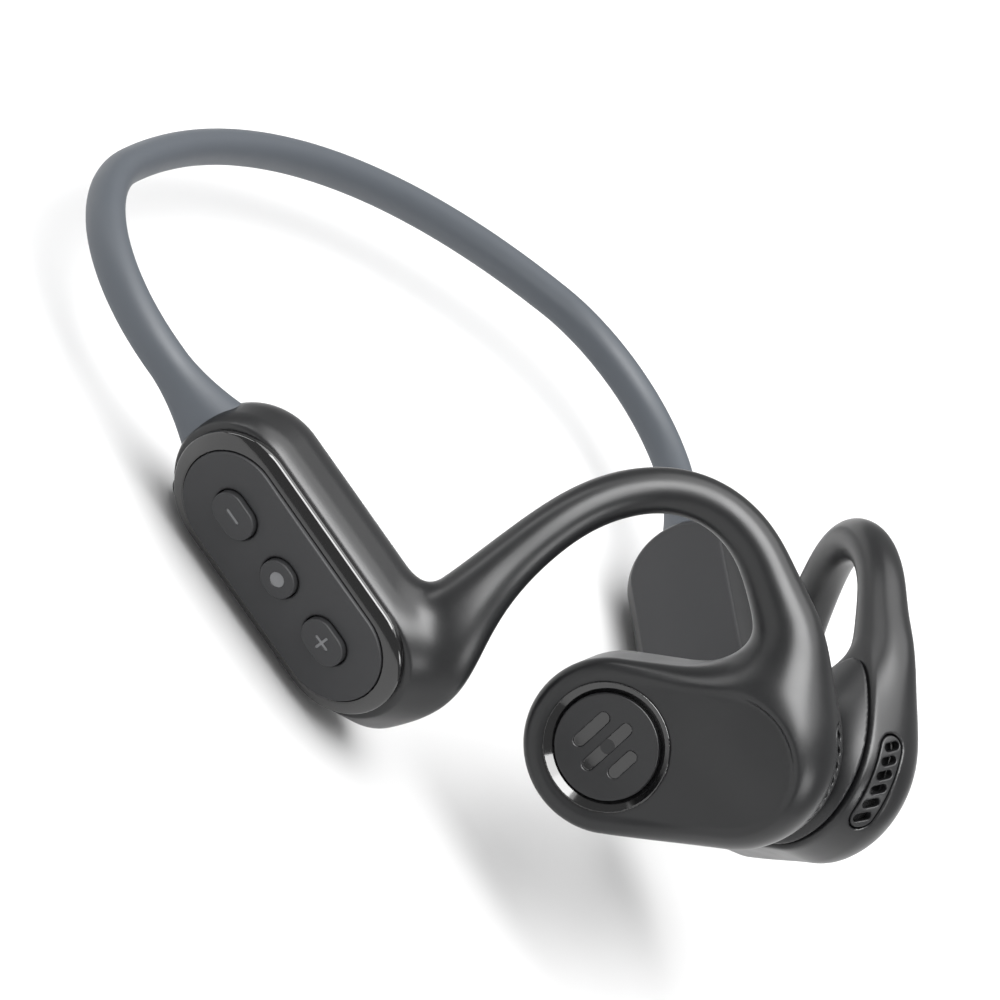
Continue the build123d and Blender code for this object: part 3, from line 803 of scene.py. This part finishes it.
def button(place, length, symbol):
    """A rounded stadium key with a hollowed symbol, and its hidden flange."""

    def field(points):
        x, y, z = points.T
        x = x - place
        top = PANEL_TOP + BUTTON_PROUD
        base = PANEL_TOP - PANEL_THICK - BUTTON_GAP
        cap = both(both(stadium(x, y, length, BUTTON_TALL), z - top, 0.2), base - 0.1 - z, 0.05)
        flange = both(stadium(x, y, length + 2 * FLANGE_RIM, BUTTON_TALL + 2 * FLANGE_RIM),
                      slab(z, base - FLANGE_THICK, base), 0.08)
        key = np.minimum(cap, flange)
        return less(key, both(mark(x, y, symbol), top - 0.17 - z, 0.03), 0.05)

    return field


def mark(x, y, symbol):
    if symbol == "o":
        return np.hypot(x, y) - DOT_R
    line = stadium(x, y, 2.2, 0.36)
    return np.minimum(line, stadium(y, x, 2.2, 0.36)) if symbol == "+" else line


def dot_and_glint_inlay(place, symbol):
    """The light grey centre dot, and in the floor of the minus and plus symbols a painted highlight standing
    in for light caught by the engraving.
    """

    def field(points):
        x, y, z = points.T
        top = PANEL_TOP + BUTTON_PROUD
        return both(mark(x - place, y, symbol) - 0.03, slab(z, top - 0.4, top - 0.12), 0.02)

    return field


for name, place, length, symbol in (
    ("minus", -BUTTON_PITCH, BUTTON_LENGTH, "-"),
    ("center", 0.0, CENTER_LENGTH, "o"),
    ("plus", BUTTON_PITCH, BUTTON_LENGTH, "+"),
):
    reach = length / 2 + FLANGE_RIM
    replaced = ["center_dot"] if symbol == "o" else []
    carve(f"button_{name}", pod, button(place, length, symbol),
          (place - reach, -3, 3.6), (place + reach, 3, 6.8),
          0.1 * ROUGH, "matte_panel", [f"button_{name}"], sides=("right",), body=f"{name}_button")
    # Inlay in each symbol: the centre key's real light grey dot, and on the minus and plus keys a painted
    # highlight
    carve(f"symbol_{name}", pod, dot_and_glint_inlay(place, symbol), (place - 1.3, -1.3, 6.0), (place + 1.3, 1.3, 6.6),
          0.06 * ROUGH, "light_dot", replaced, sides=("right",), body=f"{name}_button")


# ---- Neckband -------------------------------------------------------------------------------------
RING = 40


def band_route():
    """Centreline of the right half from the nape to the pod, with the widening at its end."""
    back_center = HUB + np.array([0.0, BAND_BACK - BACK_RADIUS, 0.0])
    inward = -pod_outward
    start = pod_rear + inward * SIDE_RADIUS - back_center
    linear = -2 * start @ pod_forward
    constant = start @ start - (BACK_RADIUS - SIDE_RADIUS) ** 2
    run = (-linear + math.sqrt(linear**2 - 4 * constant)) / 2
    side_center = pod_rear - pod_forward * run + inward * SIDE_RADIUS
    toward = (side_center - back_center) / np.linalg.norm(side_center - back_center)
    turn = math.atan2(-toward[0], toward[1])
    points = []
    for angle in np.linspace(0, turn, 60):
        points.append(back_center + BACK_RADIUS * np.array([-math.sin(angle), math.cos(angle), 0.0]))
    stop = math.radians(90 + POD_TOE)
    for angle in np.linspace(turn, stop, 50)[1:]:
        points.append(side_center + SIDE_RADIUS * np.array([-math.sin(angle), math.cos(angle), 0.0]))
    bend_end = points[-1]
    for share in np.linspace(0, 1, 30)[1:]:
        points.append(bend_end + (pod_rear + pod_forward * 1.0 - bend_end) * share)
    return np.array(points)


def band_skin():
    half = band_route()
    route = np.vstack([half[::-1], half[1:] * np.array([-1.0, 1.0, 1.0])])
    along = np.gradient(route, axis=0)
    along /= np.linalg.norm(along, axis=1)[:, None]
    rear = np.minimum(np.linalg.norm(route - pod_rear, axis=1),
                      np.linalg.norm(route - pod_rear * np.array([-1.0, 1.0, 1.0]), axis=1))
    share = np.clip(1 - rear / FLARE_LENGTH, 0, 1)
    grow = share**1.7
    points, faces = [], []
    for place, heading, wide in zip(route, along, grow):
        sideways = np.cross(heading, UP)
        thick = (BAND_THICK + (FLARE_THICK - BAND_THICK) * wide) / 2
        tall = (BAND_TALL + (FLARE_TALL - BAND_TALL) * wide) / 2
        for angle in np.linspace(0, 2 * math.pi, RING, endpoint=False):
            points.append(place + sideways * thick * math.cos(angle) + UP * tall * math.sin(angle))
    rows = len(route)
    for i in range(rows - 1):
        for j in range(RING):
            k = (j + 1) % RING
            faces.append((i * RING + j, i * RING + k, (i + 1) * RING + k, (i + 1) * RING + j))
    faces.append(tuple(range(RING))[::-1])
    faces.append(tuple((rows - 1) * RING + j for j in range(RING)))
    thing = mesh_object("neckband_skin", points, faces)
    thing.data.materials.append(MATERIALS["band_silicone"])
    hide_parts("neckband_sleeve_right", "neckband_sleeve_left",
                "neckband_wire_right", "neckband_wire_left")
    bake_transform(thing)


band_skin()


# ---- Floor, light and camera ----------------------------------------------------------------------
def backdrop():
    size = 3.0
    mesh = bpy.data.meshes.new("floor")
    corners = [(-size, -size, 0), (size, -size, 0), (size, size, 0), (-size, size, 0)]
    mesh.from_pydata(corners, [], [(0, 1, 2, 3)])
    floor = bpy.data.objects.new("floor", mesh)
    bpy.context.collection.objects.link(floor)
    material, shader = new_material("pale floor")
    pale = tint(material, noise(material, 3.0), (0.80, 0.80, 0.80), (0.84, 0.84, 0.84))
    join(material, pale, shader.inputs["Base Color"])
    shader.inputs["Roughness"].default_value = 0.8
    mesh.materials.append(material)


def softbox(name, place, size, power, highlight_only=False, aim=(0.0, 0.0, 0.02)):
    light = bpy.data.lights.new(name, "AREA")
    light.shape = "RECTANGLE"
    light.size, light.size_y = size
    light.energy = power
    thing = bpy.data.objects.new(name, light)
    thing.location = place
    direction = Vector(aim) - Vector(place)
    thing.rotation_euler = direction.to_track_quat("-Z", "Y").to_euler()
    thing.visible_diffuse = not highlight_only
    bpy.context.collection.objects.link(thing)


CAMERA_AZIMUTH = -64.0
CAMERA_HEIGHT = 24.37
CAMERA_ROLL = -54.38
CAMERA_DISTANCE = 0.600
CAMERA_LENS = 180.0
CAMERA_AIM = HUB + np.array([-6.1, -6.4, 6.6])


def camera():
    azimuth, height = math.radians(CAMERA_AZIMUTH), math.radians(CAMERA_HEIGHT)
    back = Vector((math.sin(azimuth) * math.cos(height),
                   -math.cos(azimuth) * math.cos(height),
                   math.sin(height)))
    right = Vector((0, 0, 1)).cross(back).normalized()
    up = back.cross(right)
    roll = math.radians(CAMERA_ROLL)
    turned_right = right * math.cos(roll) - up * math.sin(roll)
    turned_up = right * math.sin(roll) + up * math.cos(roll)
    data = bpy.data.cameras.new("camera")
    data.lens = CAMERA_LENS
    thing = bpy.data.objects.new("camera", data)
    rotation = Matrix((turned_right, turned_up, back)).transposed().to_4x4()
    thing.matrix_world = Matrix.Translation(Vector(CAMERA_AIM * MM) + back * CAMERA_DISTANCE) @ rotation
    data.clip_start = 0.01
    bpy.context.collection.objects.link(thing)
    bpy.context.scene.camera = thing


backdrop()
softbox("overhead", (-0.1, 0.1, 1.3), (1.8, 1.8), 34)
softbox("shoulder_sheen", (-0.42, -0.19, 0.85), (0.75, 0.7), 19, highlight_only=True)
softbox("front_strip", (0.1, -0.95, 0.45), (0.5, 0.22), 3, highlight_only=True)
softbox("back_strip", (-0.6, 0.8, 0.4), (0.2, 0.7), 2.5, highlight_only=True)
camera()
world = bpy.data.worlds.new("studio")
world.use_nodes = True
world.node_tree.nodes["Background"].inputs["Color"].default_value = (1, 1, 1, 1)
world.node_tree.nodes["Background"].inputs["Strength"].default_value = 0.46
bpy.context.scene.world = world
bpy.context.scene.view_settings.view_transform = "Standard"
